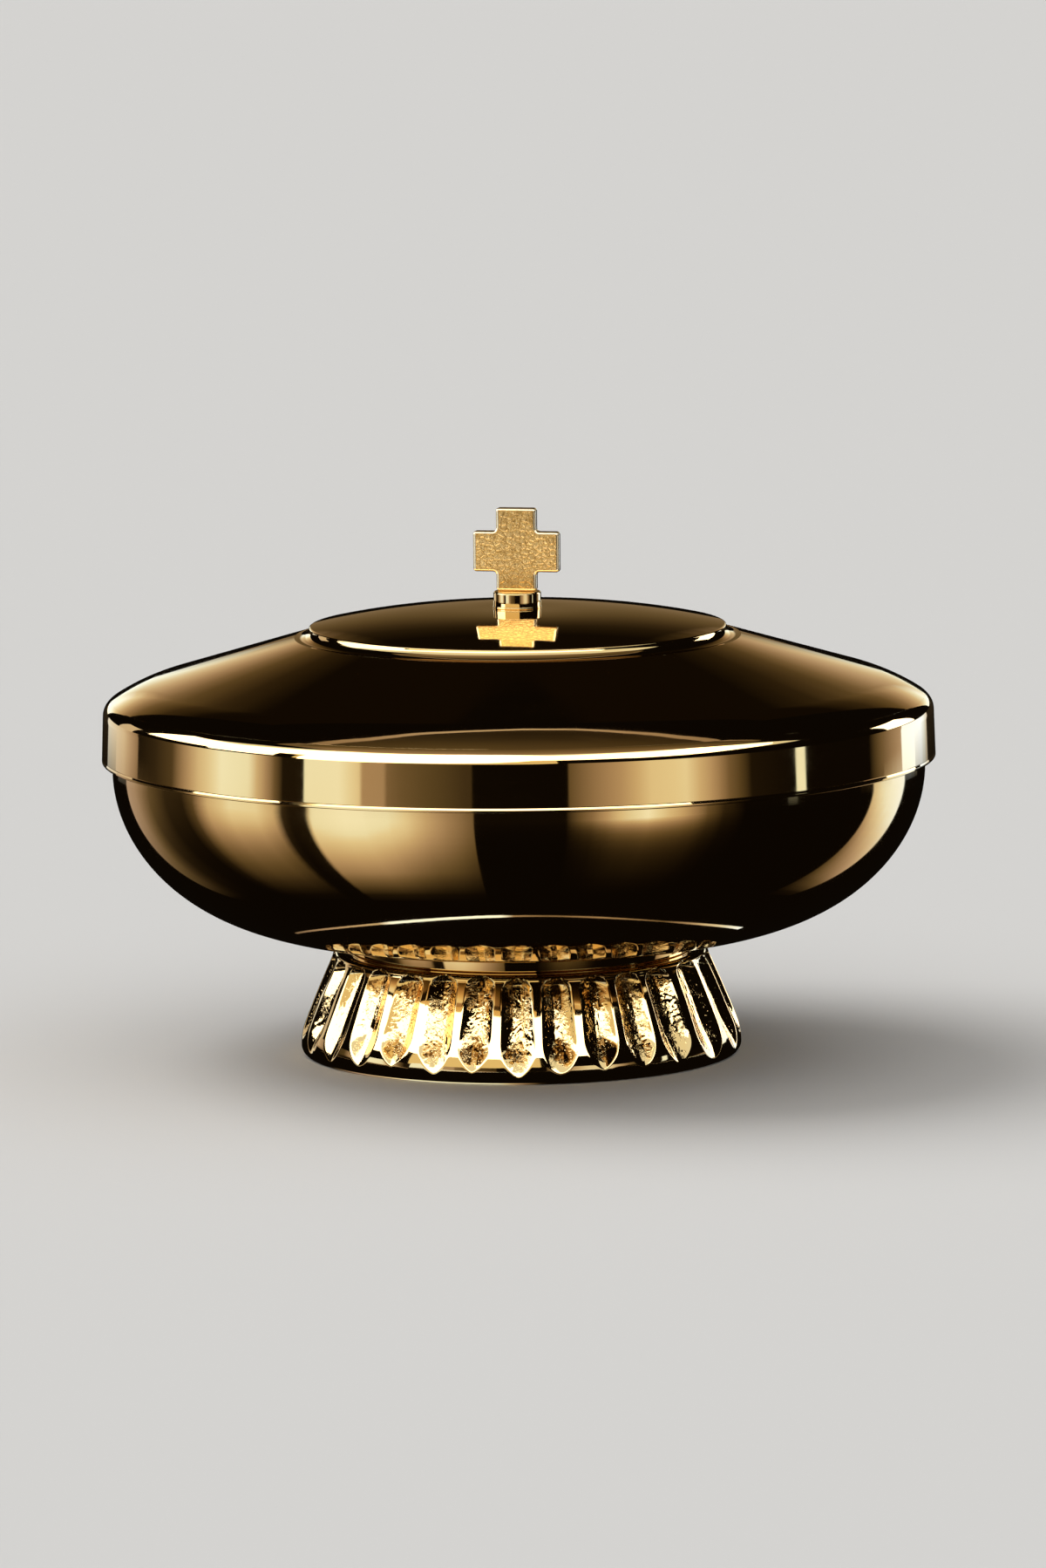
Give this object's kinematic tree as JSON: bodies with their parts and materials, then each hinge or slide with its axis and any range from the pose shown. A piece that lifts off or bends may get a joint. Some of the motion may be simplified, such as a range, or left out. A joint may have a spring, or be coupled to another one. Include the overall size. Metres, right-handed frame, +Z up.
{
  "type": "ciborium",
  "caption": "Shallow covered ciborium: polished bowl on a fluted foot, with a banded lift-off lid and a small cross finial.",
  "frame": {"origin": "on the table, under the middle of the foot", "axes": "+Z up, the way the lid lifts; the finial cross faces -Y, turned 12 degrees to -X"},
  "size_m": [0.16, 0.16, 0.105],
  "materials": {
    "polished_gilt": "gilt, mirror polished, with faint wiping marks",
    "cast_gilt": "gilt casting: polished ridges, wrinkled hollows",
    "frosted_gilt": "gilt, crackled frosted faces with bright bevelled edges",
    "turned_brass": "plain turned brass, lightly toned"
  },
  "bodies": {
    "cup": {"foot_ring": "cast_gilt", "foot_plate": "turned_brass", "neck_ring": "polished_gilt", "bowl_shell": "polished_gilt", "bowl_rim_ring": "polished_gilt", "bowl_boss": "turned_brass", "bowl_stud": "turned_brass", "foot_washer": "turned_brass", "foot_nut": "turned_brass"},
    "lid": {"lid_band": "polished_gilt", "lid_shell": "polished_gilt", "lid_bezel": "polished_gilt", "lid_disc": "polished_gilt", "finial_collar": "polished_gilt", "finial_cross": "frosted_gilt", "finial_stud": "turned_brass", "finial_washer": "turned_brass", "finial_nut": "turned_brass"}
  },
  "joints": [
    {"name": "lid_lift", "type": "slide", "parent": "cup", "child": "lid", "axis": [0, 0, 1], "range_m": [0, 0.1]}
  ]
}
